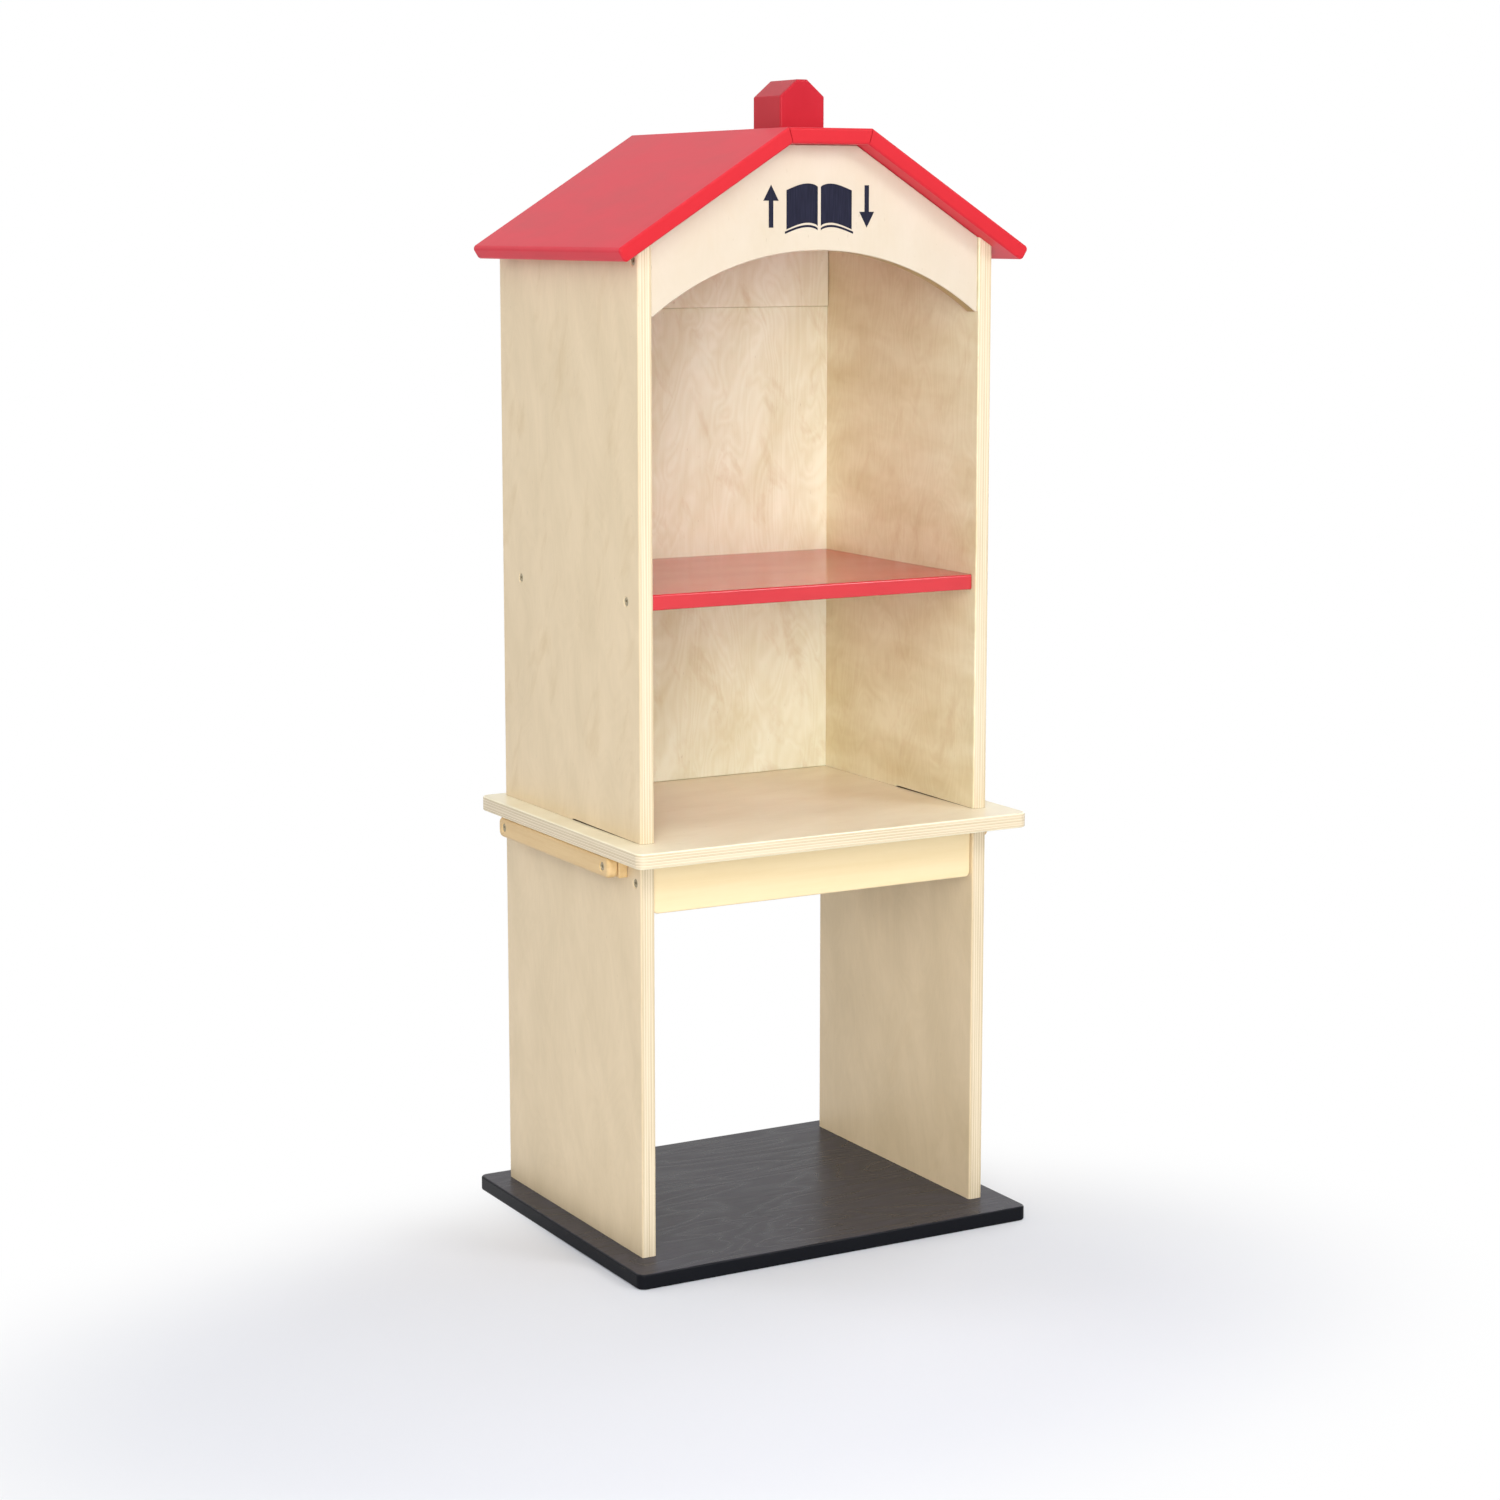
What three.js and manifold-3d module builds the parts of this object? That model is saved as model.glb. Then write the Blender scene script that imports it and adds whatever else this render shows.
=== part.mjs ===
// A standing box for sharing books: an open, gabled case above a counter, on two legs and a base board.
// Millimetres, +Z up, the front towards -Y, the origin under the middle of the base board.
import * as THREE from "three";
import { mergeVertices } from "three/addons/utils/BufferGeometryUtils.js";
import Module from "manifold-3d";

const wasm = await Module();
wasm.setup();

// Gaps between flat faces and round fasteners, and how far a cut runs past the face it opens
const fit = 0.25;
const clearance = 0.3;
const overrun = 20;

// Sheet material, and how finely round edges are divided
const ply = 18;
const thinPly = 9;
const arcSteps = 5;
const archSteps = 18;
const arrisSteps = 3;
const turnedSides = 12;

// Case: the legs below the counter and the sides above it stand in the same two planes. The sides'
// lift is from the counter to the roof's underside over their outer faces
const caseWidth = 468;
const caseDepth = 362;
const caseArris = 2.5;
const legHeight = 469;
const sideLift = 669;

// Base board, which reaches past the case all round
const baseSideMargin = 31;
const baseFrontMargin = 54;
const baseRearMargin = 26;
const baseCorner = 15;
const baseArris = 3;

// Counter, which reaches past the case all round
const counterSideMargin = 28;
const counterFrontMargin = 50;
const counterRearMargin = 14;
const counterCorner = 15;
const counterArris = 3;

// Shallow relief under the front of each upper side
const reliefLength = 176;
const reliefHeight = 2;
const reliefTip = 0.3;

// Aprons under the counter, between the legs
const apronHeight = 65.5;
const apronSetback = 5;
const apronCorner = 7;
const apronArris = 2;

// Rails held off the legs by spacers
const railLength = 295;
const railHeight = 25;
const railThickness = 14;
const railSetback = 32;
const railCorner = 8;
const railArris = 4;
const spacerLength = 30;
const spacerThickness = 12;
const spacerArris = 1;

// Shelf
const shelfLift = 265;
const shelfSetback = 6;
const shelfCorner = 4;
const shelfArris = 2.5;

// Back: a thin panel in grooves, and above it a thicker gable board, which hangs this far below the
// sides' top
const gableDrop = 76.5;
const panelInset = 5;
const grooveDepth = 6;
const gableArris = 1;

// Arched board at the front, whose tips hang this far below the sides' top
const fasciaSetback = 3;
const fasciaArris = 1.5;
const archDrop = 75.5;
const archRise = 72;
const archNib = 3;

// Roof: a flat board between two sloping ones
const roofFlat = 110;
const roofOverhang = 24;
const eaveOverhang = 36;
const roofPitch = THREE.MathUtils.degToRad(32);
const roofArris = 4;
const eaveRadius = 5;

// Chimney
const chimneyWidth = 58;
const chimneyDepth = 64;
const chimneyWall = 37;
const chimneyHeight = 56;
const chimneyFlat = 13;
const chimneySetback = 65;
const chimneyArris = 2.5;

// Countersunk screws
const screwHead = 9.6;
const screwRim = 0.4;
const screwShank = 4;
const screwSink = 0.8;
const socketWidth = 4.5;
const socketDepth = 2;
const boardScrewLength = 50;
const railScrewLength = 40;
const chimneyScrewLength = 45;

// Places of the screws, from the ends and edges of what they hold
const shelfScrewFront = 33;
const shelfScrewBack = 51;
const fasciaScrewDrop = 14;
const apronScrewDrop = 29;
const railScrewInset = 15;
const baseScrewInset = 60;
const counterScrewInset = 100;

// Dowels and their places
const dowelWidth = 8;
const dowelLength = 30;
const dowelSeat = 10;
const dowelChamfer = 1;
const sideDowelInset = 40;
const gableDowelInset = 22;
const gableDowelPitch = 45;

// Levels and planes worked out from the sizes above
const counterUnder = ply + legHeight;
const counterTop = counterUnder + ply;
const shelfUnder = counterTop + shelfLift;
const sideTop = counterTop + sideLift;
const panelTop = sideTop - gableDrop;
const outside = caseWidth / 2;
const inside = outside - ply;
const innerRidge = roofFlat / 2 - ply * Math.tan(roofPitch / 2);
const ceiling = sideTop + (outside - innerRidge) * Math.tan(roofPitch);
const ridgeTop = ceiling + ply;
const caseMiddle = (baseFrontMargin - baseRearMargin) / 2;
const caseFront = caseMiddle - caseDepth / 2;
const caseBack = caseMiddle + caseDepth / 2;
const panelBack = caseBack - panelInset;
const panelFront = panelBack - thinPly;
const fasciaFront = caseFront + fasciaSetback;
const fasciaMiddle = fasciaFront + ply / 2;
const gableMiddle = caseBack - ply / 2;
const roofFront = caseFront - roofOverhang;
const eave = outside + eaveOverhang;
const eaveTop = ridgeTop - (eave - roofFlat / 2) * Math.tan(roofPitch);

// Finishes
const birch = { color: 0xdec9a6, roughness: 0.45, metalness: 0 };
const lacquered = { color: 0xd3bb93, roughness: 0.15, metalness: 0 };
const solidWood = { color: 0xdcb97f, roughness: 0.45, metalness: 0 };
const redPaint = { color: 0xd5323e, roughness: 0.3, metalness: 0 };
const blackStain = { color: 0x33343a, roughness: 0.35, metalness: 0 };
const beech = { color: 0xcfa874, roughness: 0.7, metalness: 0 };
const steel = { color: 0x8d8b86, roughness: 0.35, metalness: 1 };

// Turns that stand a board up: its outline lies in the first two axes, its thickness along the third
const alongX = new THREE.Vector3(1, 0, 0);
const alongY = new THREE.Vector3(0, 1, 0);
const alongZ = new THREE.Vector3(0, 0, 1);
const lying = turnTo(alongX, alongY, alongZ);
const facing = turnTo(alongX, alongZ, alongY.clone().negate());
const sideways = turnTo(alongY, alongZ, alongX);

function turnTo(first, second, third) {
  const matrix = new THREE.Matrix4().makeBasis(first, second, third);
  return new THREE.Quaternion().setFromRotationMatrix(matrix);
}

// A closed solid from a three.js geometry
function solid(geometry) {
  const bare = geometry.clone();
  bare.deleteAttribute("normal");
  bare.deleteAttribute("uv");
  const merged = mergeVertices(bare);
  const corners = merged.index.array;
  const kept = [];
  for (let i = 0; i < corners.length; i += 3) {
    const [a, b, c] = corners.slice(i, i + 3);
    if (a !== b && b !== c && c !== a) kept.push(a, b, c);
  }
  const vertProperties = new Float32Array(merged.attributes.position.array);
  return new wasm.Manifold(new wasm.Mesh({ numProp: 3, vertProperties, triVerts: new Uint32Array(kept) }));
}

// A three.js geometry from a solid
function geometryOf(body) {
  const { vertProperties, triVerts } = body.getMesh();
  const geometry = new THREE.BufferGeometry();
  geometry.setAttribute("position", new THREE.BufferAttribute(vertProperties, 3));
  geometry.setIndex(new THREE.BufferAttribute(triVerts, 1));
  geometry.computeVertexNormals();
  return geometry;
}

const stand = new THREE.Group();
const bodies = new Map();

// Adds a named piece, whose solid can still be cut
function piece(name, look, geometry, place, turn = lying) {
  const mesh = new THREE.Mesh(undefined, new THREE.MeshStandardMaterial(look));
  mesh.name = name;
  mesh.position.set(...place);
  mesh.quaternion.copy(turn);
  mesh.updateMatrixWorld();
  stand.add(mesh);
  bodies.set(mesh, solid(geometry));
  return mesh;
}

// The tool's solid, from the stand's frame to the piece's own
function seen(mesh, tool) {
  return solid(tool.clone().applyMatrix4(mesh.matrixWorld.clone().invert()));
}

function cut(mesh, tool) {
  bodies.set(mesh, bodies.get(mesh).subtract(seen(mesh, tool)));
}

function keep(mesh, tool) {
  bodies.set(mesh, bodies.get(mesh).intersect(seen(mesh, tool)));
}

// An outline from its corners, anticlockwise, each [x, y] or [x, y, radius]
function outline(corners) {
  const shape = new THREE.Shape();
  corners.forEach(([x, y, radius = 0], i) => {
    const corner = new THREE.Vector2(x, y);
    const back = new THREE.Vector2(...corners.at(i - 1)).sub(corner).normalize();
    const on = new THREE.Vector2(...corners[(i + 1) % corners.length]).sub(corner).normalize();
    if (radius > 0) {
      const half = Math.acos(back.dot(on)) / 2;
      const middle = back.clone().add(on).setLength(radius / Math.sin(half)).add(corner);
      const from = back.clone().multiplyScalar(radius / Math.tan(half)).add(corner).sub(middle);
      const to = on.clone().multiplyScalar(radius / Math.tan(half)).add(corner).sub(middle);
      shape.absarc(middle.x, middle.y, radius, from.angle(), to.angle(), back.cross(on) > 0);
    } else if (i === 0) {
      shape.moveTo(x, y);
    } else {
      shape.lineTo(x, y);
    }
  });
  return shape;
}

function rectangle(left, right, bottom, top, lowRadius = 0, highRadius = lowRadius) {
  return outline([
    [left, bottom, lowRadius],
    [right, bottom, lowRadius],
    [right, top, highRadius],
    [left, top, highRadius],
  ]);
}

// A board cut to an outline, with all its edges rounded by the arris
function slab(shape, thickness, arris = 0, steps = arcSteps) {
  const geometry = new THREE.ExtrudeGeometry(shape, {
    depth: thickness - 2 * arris,
    bevelEnabled: arris > 0,
    bevelSize: arris,
    bevelThickness: arris,
    bevelOffset: -arris,
    bevelSegments: arrisSteps,
    curveSegments: steps,
  });
  return geometry.translate(0, 0, arris);
}

// A plain box between two opposite corners
function block([x0, y0, z0], [x1, y1, z1]) {
  const box = new THREE.BoxGeometry(x1 - x0, y1 - y0, z1 - z0);
  return box.translate((x0 + x1) / 2, (y0 + y1) / 2, (z0 + z1) / 2);
}

// A turned solid from [radius, distance along its axis], starting and ending on the axis
function turned(profile) {
  const points = profile.map(([radius, along]) => new THREE.Vector2(radius, along));
  return new THREE.LatheGeometry(points, turnedSides);
}

// Sets a fastener at a place, along a direction, and opens its hole in each piece that it passes
function fasten(name, look, shape, hole, place, direction, pieces) {
  const turn = new THREE.Quaternion().setFromUnitVectors(alongY, direction);
  const tool = hole.applyQuaternion(turn).translate(...place);
  pieces.forEach((mesh) => cut(mesh, tool));
  return piece(name, look, shape, place, turn);
}

// A screw driven from the surface at a place, its head sunk in a countersunk hole
function screw(name, length, place, direction, pieces) {
  const head = screwHead / 2;
  const shank = screwShank / 2;
  const socket = socketWidth / 2;
  const rim = screwSink + screwRim;
  const shape = turned([
    [0, screwSink + socketDepth],
    [socket, screwSink + socketDepth],
    [socket, screwSink],
    [head, screwSink],
    [head, rim],
    [shank, rim + head - shank],
    [shank, length - shank],
    [0, length],
  ]);
  const hole = turned([
    [0, -overrun],
    [head + clearance + rim + overrun, -overrun],
    [shank + clearance, rim + head - shank],
    [shank + clearance, length + clearance],
    [0, length + clearance],
  ]);
  return fasten(name, steel, shape, hole, place, direction, pieces);
}

// A dowel across the joint at a place, seated behind it and running on along a direction
function dowel(name, joint, direction, pieces) {
  const [shape, hole] = [0, clearance].map((gap) =>
    turned([
      [0, -gap],
      [dowelWidth / 2 - dowelChamfer + gap, -gap],
      [dowelWidth / 2 + gap, dowelChamfer - gap],
      [dowelWidth / 2 + gap, dowelLength - dowelChamfer + gap],
      [dowelWidth / 2 - dowelChamfer + gap, dowelLength + gap],
      [0, dowelLength + gap],
    ]),
  );
  const start = new THREE.Vector3(...joint).addScaledVector(direction, -dowelSeat);
  return fasten(name, beech, shape, hole, start.toArray(), direction, pieces);
}

// The space above the roof's underside, lowered by the fitting gap
function roofSpace() {
  const corner = innerRidge - fit * Math.tan(roofPitch / 2);
  const reach = eave + overrun;
  const low = ceiling - fit - (reach - corner) * Math.tan(roofPitch);
  const high = ridgeTop + overrun;
  const depth = caseBack - roofFront + 2 * overrun;
  const shape = outline([
    [-reach, low],
    [-corner, ceiling - fit],
    [corner, ceiling - fit],
    [reach, low],
    [reach, high],
    [-reach, high],
  ]);
  return slab(shape, depth).applyQuaternion(facing).translate(0, caseBack + overrun, 0);
}

// Everything on one side of a plane through a point at the roof's ridge
function beyondMitre(x, z, angle) {
  const reach = caseWidth + caseDepth + eaveOverhang + roofOverhang;
  const box = block([0, -reach, -reach], [reach, reach, reach]);
  return box.rotateY(angle).translate(x, 0, z);
}

const hands = [
  ["left", -1],
  ["right", 1],
];
const roofCut = roofSpace();

// Base board, legs and counter
const baseHalf = outside + baseSideMargin;
const baseShape = rectangle(
  -baseHalf,
  baseHalf,
  caseFront - baseFrontMargin,
  caseBack + baseRearMargin,
  baseCorner,
);
const baseBoard = piece("base_board", blackStain, slab(baseShape, ply, baseArris), [0, 0, 0]);

const sideShape = rectangle(-ply / 2, ply / 2, -caseDepth / 2, caseDepth / 2, caseArris);
const sideMiddle = outside - ply / 2;
const legs = {};
for (const [hand, sign] of hands) {
  const place = [sign * sideMiddle, caseMiddle, ply + fit];
  legs[hand] = piece("lower_side_" + hand, birch, slab(sideShape, legHeight - 2 * fit), place);
}

const counterHalf = outside + counterSideMargin;
const counterShape = rectangle(
  -counterHalf,
  counterHalf,
  caseFront - counterFrontMargin,
  caseBack + counterRearMargin,
  counterCorner,
);
const counterSlab = slab(counterShape, ply, counterArris);
const counter = piece("counter", lacquered, counterSlab, [0, 0, counterUnder]);

for (const [hand, sign] of hands) {
  const ends = [
    ["front", caseFront + baseScrewInset, caseFront + counterScrewInset],
    ["rear", caseBack - baseScrewInset, caseBack - counterScrewInset],
  ];
  for (const [end, low, high] of ends) {
    const under = [sign * sideMiddle, low, 0];
    const over = [sign * sideMiddle, high, counterTop];
    const down = alongZ.clone().negate();
    screw("base_screw_" + hand + "_" + end, boardScrewLength, under, alongZ, [baseBoard, legs[hand]]);
    screw("counter_screw_" + hand + "_" + end, boardScrewLength, over, down, [counter, legs[hand]]);
  }
}

// Aprons, screwed through the legs
const apronWidth = 2 * (inside - fit);
const apronShape = rectangle(-apronWidth / 2, apronWidth / 2, 0, apronHeight - fit, apronCorner, 0);
const aprons = [
  ["front", caseFront + apronSetback + ply],
  ["rear", caseBack - apronSetback],
];
for (const [end, back] of aprons) {
  const place = [0, back, counterUnder - apronHeight];
  const apron = piece(end + "_apron", solidWood, slab(apronShape, ply, apronArris), place, facing);
  for (const [hand, sign] of hands) {
    const start = [sign * outside, back - ply / 2, counterUnder - apronScrewDrop];
    const inward = alongX.clone().multiplyScalar(-sign);
    screw("apron_screw_" + hand + "_" + end, boardScrewLength, start, inward, [legs[hand], apron]);
  }
}

// Rails on spacers, screwed to the legs
const railShape = rectangle(-railLength / 2, railLength / 2, 0, railHeight - fit, railCorner);
const spacerShape = rectangle(-spacerLength / 2, spacerLength / 2, 0, railHeight - fit);
const railMiddle = caseFront + railSetback + railLength / 2;
const railUnder = counterUnder - railHeight;
for (const [hand, sign] of hands) {
  const near = outside + spacerThickness;
  const railX = sign > 0 ? near : -near - railThickness;
  const railPlace = [railX, railMiddle, railUnder];
  const railSlab = slab(railShape, railThickness, railArris);
  const rail = piece("side_rail_" + hand, solidWood, railSlab, railPlace, sideways);
  const ends = [
    ["front", -1],
    ["rear", 1],
  ];
  for (const [end, way] of ends) {
    const spacerY = railMiddle + way * (railLength / 2 - spacerLength / 2);
    const spacerX = sign > 0 ? outside + fit : -near + fit;
    const spacerSlab = slab(spacerShape, spacerThickness - 2 * fit, spacerArris);
    const spacerName = "rail_spacer_" + hand + "_" + end;
    const spacer = piece(spacerName, solidWood, spacerSlab, [spacerX, spacerY, railUnder], sideways);
    const screwY = railMiddle + way * (railLength / 2 - railScrewInset);
    const start = [sign * (near + railThickness), screwY, railUnder + railHeight / 2];
    const inward = alongX.clone().multiplyScalar(-sign);
    screw("rail_screw_" + hand + "_" + end, railScrewLength, start, inward, [rail, spacer, legs[hand]]);
  }
}

// Upper sides: tops cut to the roof, a groove for the back panel, a relief under the front
const reliefShape = outline([
  [caseFront - overrun, counterTop - overrun],
  [caseFront + reliefLength, counterTop - overrun],
  [caseFront + reliefLength, counterTop + reliefHeight],
  [caseFront, counterTop + reliefTip],
  [caseFront - overrun, counterTop + reliefTip],
]);
const relief = slab(reliefShape, caseWidth + 2 * overrun).applyQuaternion(sideways);
relief.translate(-outside - overrun, 0, 0);
const groove = block(
  [-inside - grooveDepth, panelFront - fit, counterTop - overrun],
  [inside + grooveDepth, panelBack + fit, panelTop],
);
const uppers = {};
for (const [hand, sign] of hands) {
  const place = [sign * sideMiddle, caseMiddle, counterTop + fit];
  const side = piece("upper_side_" + hand, birch, slab(sideShape, ridgeTop - counterTop), place);
  [roofCut, relief, groove].forEach((tool) => cut(side, tool));
  uppers[hand] = side;
  const ends = [
    ["front", caseFront + sideDowelInset],
    ["rear", caseBack - sideDowelInset],
  ];
  for (const [end, y] of ends) {
    const joint = [sign * sideMiddle, y, counterTop];
    dowel("side_dowel_" + hand + "_" + end, joint, alongZ, [counter, side]);
  }
}

// Back panel, standing on the counter with its edges in the grooves
const panelHalf = inside + grooveDepth - fit;
const panelShape = rectangle(-panelHalf, panelHalf, fit, panelTop - counterTop - fit);
piece("back_panel", birch, slab(panelShape, thinPly), [0, panelBack, counterTop], facing);

// Gable board above the back panel, dowelled to the sides
const gableShape = rectangle(-inside + fit, inside - fit, 0, ridgeTop - panelTop);
const gable = piece("rear_gable", birch, slab(gableShape, ply, gableArris), [0, caseBack, panelTop], facing);
cut(gable, roofCut);
for (const [hand, sign] of hands) {
  const inward = alongX.clone().multiplyScalar(-sign);
  const levels = [
    ["low", panelTop + gableDowelInset],
    ["high", panelTop + gableDowelInset + gableDowelPitch],
  ];
  for (const [level, z] of levels) {
    const joint = [sign * inside, gableMiddle, z];
    dowel("gable_dowel_" + hand + "_" + level, joint, inward, [uppers[hand], gable]);
  }
}

// Shelf, rounded along its front, squared where it meets the sides and the back
const shelfFront = caseFront + shelfSetback;
const shelfPlan = outline([
  [-inside + fit, shelfFront, shelfCorner],
  [inside - fit, shelfFront, shelfCorner],
  [inside - fit, panelFront - fit],
  [-inside + fit, panelFront - fit],
]);
const shelfBlank = rectangle(-outside, outside, shelfFront, caseBack);
const shelf = piece("shelf", redPaint, slab(shelfBlank, ply, shelfArris), [0, 0, shelfUnder]);
keep(shelf, slab(shelfPlan, ply + 2 * overrun).translate(0, 0, shelfUnder - overrun));
for (const [hand, sign] of hands) {
  const inward = alongX.clone().multiplyScalar(-sign);
  const ends = [
    ["front", caseFront + shelfScrewFront],
    ["rear", caseBack - shelfScrewBack],
  ];
  for (const [end, y] of ends) {
    const start = [sign * outside, y, shelfUnder + ply / 2];
    screw("shelf_screw_" + hand + "_" + end, boardScrewLength, start, inward, [uppers[hand], shelf]);
  }
}

// Arched front board
const archHalf = inside - fit - archNib;
const archRadius = (archHalf ** 2 + archRise ** 2) / (2 * archRise);
const archAngle = Math.asin(archHalf / archRadius);
const archTip = sideTop - archDrop;
const fasciaShape = new THREE.Shape();
fasciaShape.moveTo(inside - fit, ridgeTop - archTip);
fasciaShape.lineTo(-inside + fit, ridgeTop - archTip);
fasciaShape.lineTo(-inside + fit, 0);
fasciaShape.absarc(
  0,
  archRise - archRadius,
  archRadius,
  Math.PI / 2 + archAngle,
  Math.PI / 2 - archAngle,
  true,
);
fasciaShape.lineTo(inside - fit, 0);
const fasciaSlab = slab(fasciaShape, ply, fasciaArris, archSteps);
const fascia = piece("front_fascia", birch, fasciaSlab, [0, fasciaFront + ply, archTip], facing);
cut(fascia, roofCut);
for (const [hand, sign] of hands) {
  const start = [sign * outside, fasciaMiddle, sideTop - fasciaScrewDrop];
  const inward = alongX.clone().multiplyScalar(-sign);
  screw("fascia_screw_" + hand, boardScrewLength, start, inward, [uppers[hand], fascia]);
}

// Roof: one outline, parted at the mitres
const drop = [ply * Math.sin(roofPitch), ply * Math.cos(roofPitch)];
const roofShape = outline([
  [eave, eaveTop, eaveRadius],
  [roofFlat / 2, ridgeTop],
  [-roofFlat / 2, ridgeTop],
  [-eave, eaveTop, eaveRadius],
  [-eave + drop[0], eaveTop - drop[1], eaveRadius],
  [-innerRidge, ceiling],
  [innerRidge, ceiling],
  [eave - drop[0], eaveTop - drop[1], eaveRadius],
]);
const roofSlab = slab(roofShape, caseBack - roofFront, roofArris);
const roofPlace = [0, caseBack, 0];
const roofTop = piece("roof_top", redPaint, roofSlab, roofPlace, facing);
const slopes = {};
for (const [hand, sign] of hands) {
  const lean = (sign * roofPitch) / 2;
  const outward = lean + (sign > 0 ? 0 : Math.PI);
  slopes[hand] = piece("roof_" + hand, redPaint, roofSlab, roofPlace, facing);
  cut(slopes[hand], beyondMitre((sign * (roofFlat + fit)) / 2, ridgeTop, outward + Math.PI));
  cut(roofTop, beyondMitre((sign * (roofFlat - fit)) / 2, ridgeTop, outward));
}
const gables = [
  ["front", fasciaMiddle, fascia],
  ["rear", gableMiddle, gable],
];
for (const [end, y, board] of gables) {
  dowel("roof_dowel_top_" + end, [0, y, ceiling], alongZ.clone().negate(), [roofTop, board]);
  for (const [hand, sign] of hands) {
    const x = (innerRidge + inside) / 2;
    const z = ceiling - (x - innerRidge) * Math.tan(roofPitch);
    const inward = new THREE.Vector3(-sign * Math.sin(roofPitch), 0, -Math.cos(roofPitch));
    dowel("roof_dowel_" + hand + "_" + end, [sign * x, y, z], inward, [slopes[hand], board]);
  }
}

// Chimney, screwed from below through the roof's flat board
const chimneyShape = outline([
  [-chimneyWidth / 2, fit],
  [chimneyWidth / 2, fit],
  [chimneyWidth / 2, chimneyWall],
  [chimneyFlat / 2, chimneyHeight],
  [-chimneyFlat / 2, chimneyHeight],
  [-chimneyWidth / 2, chimneyWall],
]);
const chimneyFront = roofFront + chimneySetback;
const chimneySlab = slab(chimneyShape, chimneyDepth, chimneyArris);
const chimneyPlace = [0, chimneyFront + chimneyDepth, ridgeTop];
const chimney = piece("chimney", redPaint, chimneySlab, chimneyPlace, facing);
const chimneyStart = [0, chimneyFront + chimneyDepth / 2, ceiling];
screw("chimney_screw", chimneyScrewLength, chimneyStart, alongZ, [roofTop, chimney]);

for (const [mesh, body] of bodies) {
  mesh.geometry = geometryOf(body);
}

export default stand;
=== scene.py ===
"""Looks of a street book exchange box: boards, finishes, screws, sign and stage.

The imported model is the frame: panels and rails that already have the right shape keep their
solids and get a finish, and the boards with rounded edges, the chimney, the sunk screws and the
sign are drawn again as finer surfaces in the same places.
"""
import math

import bpy
import numpy as np
from bpy.props import FloatProperty, FloatVectorProperty, IntProperty, PointerProperty
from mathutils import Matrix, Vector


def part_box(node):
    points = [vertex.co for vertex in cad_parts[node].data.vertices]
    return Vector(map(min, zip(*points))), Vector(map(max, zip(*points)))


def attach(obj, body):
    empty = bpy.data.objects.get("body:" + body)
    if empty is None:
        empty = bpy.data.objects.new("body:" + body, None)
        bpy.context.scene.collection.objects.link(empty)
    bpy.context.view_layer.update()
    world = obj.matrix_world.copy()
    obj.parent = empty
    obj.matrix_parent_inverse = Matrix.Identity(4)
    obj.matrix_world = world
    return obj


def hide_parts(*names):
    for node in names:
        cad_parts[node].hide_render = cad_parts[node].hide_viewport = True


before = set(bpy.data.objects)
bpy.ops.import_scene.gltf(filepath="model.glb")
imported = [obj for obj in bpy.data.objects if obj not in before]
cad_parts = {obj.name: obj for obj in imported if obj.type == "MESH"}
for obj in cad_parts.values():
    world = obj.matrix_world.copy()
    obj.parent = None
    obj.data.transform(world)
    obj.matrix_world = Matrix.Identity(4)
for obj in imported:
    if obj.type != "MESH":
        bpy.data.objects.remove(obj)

bl_info = {
    "name": "Book exchange box",
    "version": (1, 0, 0),
    "blender": (4, 5, 0),
    "location": "View3D > Sidebar > Book box",
    "description": "Finishes the boards, screws and sign of a book exchange box",
    "category": "Object",
}

MM = 0.001

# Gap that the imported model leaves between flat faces
FIT = 0.25 * MM

# Ways to stand a board: its outline's two directions, then the direction of its thickness
LYING = np.array([[1, 0, 0], [0, 1, 0], [0, 0, 1]], float)
FACING = np.array([[1, 0, 0], [0, 0, 1], [0, -1, 0]], float)

# Lamps: place and target in metres, width in metres, power in watts
LAMPS = {
    "main lamp": ((-1.96, -3.6, 1.35), (0, 0, 0.75), 2.0, 109),
    "high lamp": ((-2.0, -3.0, 3.2), (0, 0, 0.6), 1.6, 48),
    "right lamp": ((1.7, -2.6, 2.4), (0, 0, 0.7), 1.0, 34),
    "top lamp": ((0.0, -0.4, 6.0), (0, 0, 0), 3.0, 105),
    "rear left lamp": ((-3.0, 3.0, 2.4), (0, 0, 0.7), 2.0, 35),
    "rear right lamp": ((3.6, 2.0, 1.6), (0, 0, 0.7), 2.0, 35),
}

# Camera: place in metres, turn from the front and tilt below level in degrees, lens and sensor in
# millimetres, upward shift as a share of the picture
CAMERA_PLACE = (-1.826, -3.256, 1.200)
CAMERA_TURN, CAMERA_TILT = 29.31, 8.75
LENS, SENSOR_WIDTH = 74.98, 36
CAMERA_SHIFT = -0.03


def linear(hex_colour):
    """Linear red, green and blue of an sRGB hex colour, such as "D5323E"."""
    share = np.array([int(hex_colour[i:i + 2], 16) for i in (0, 2, 4)]) / 255
    low = share / 12.92
    high = ((share + 0.055) / 1.055) ** 2.4
    return tuple(float(v) for v in np.where(share <= 0.04045, low, high))


def colour(title, hex_colour, description):
    """A colour setting with its default given as sRGB hex."""
    return FloatVectorProperty(
        name=title, description=description, default=linear(hex_colour),
        subtype="COLOR", size=3, min=0, max=1,
    )


def length(title, millimetres, description):
    """A length setting with its default given in millimetres."""
    return FloatProperty(
        name=title, description=description, default=millimetres * MM,
        subtype="DISTANCE", unit="LENGTH", min=0,
    )


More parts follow.
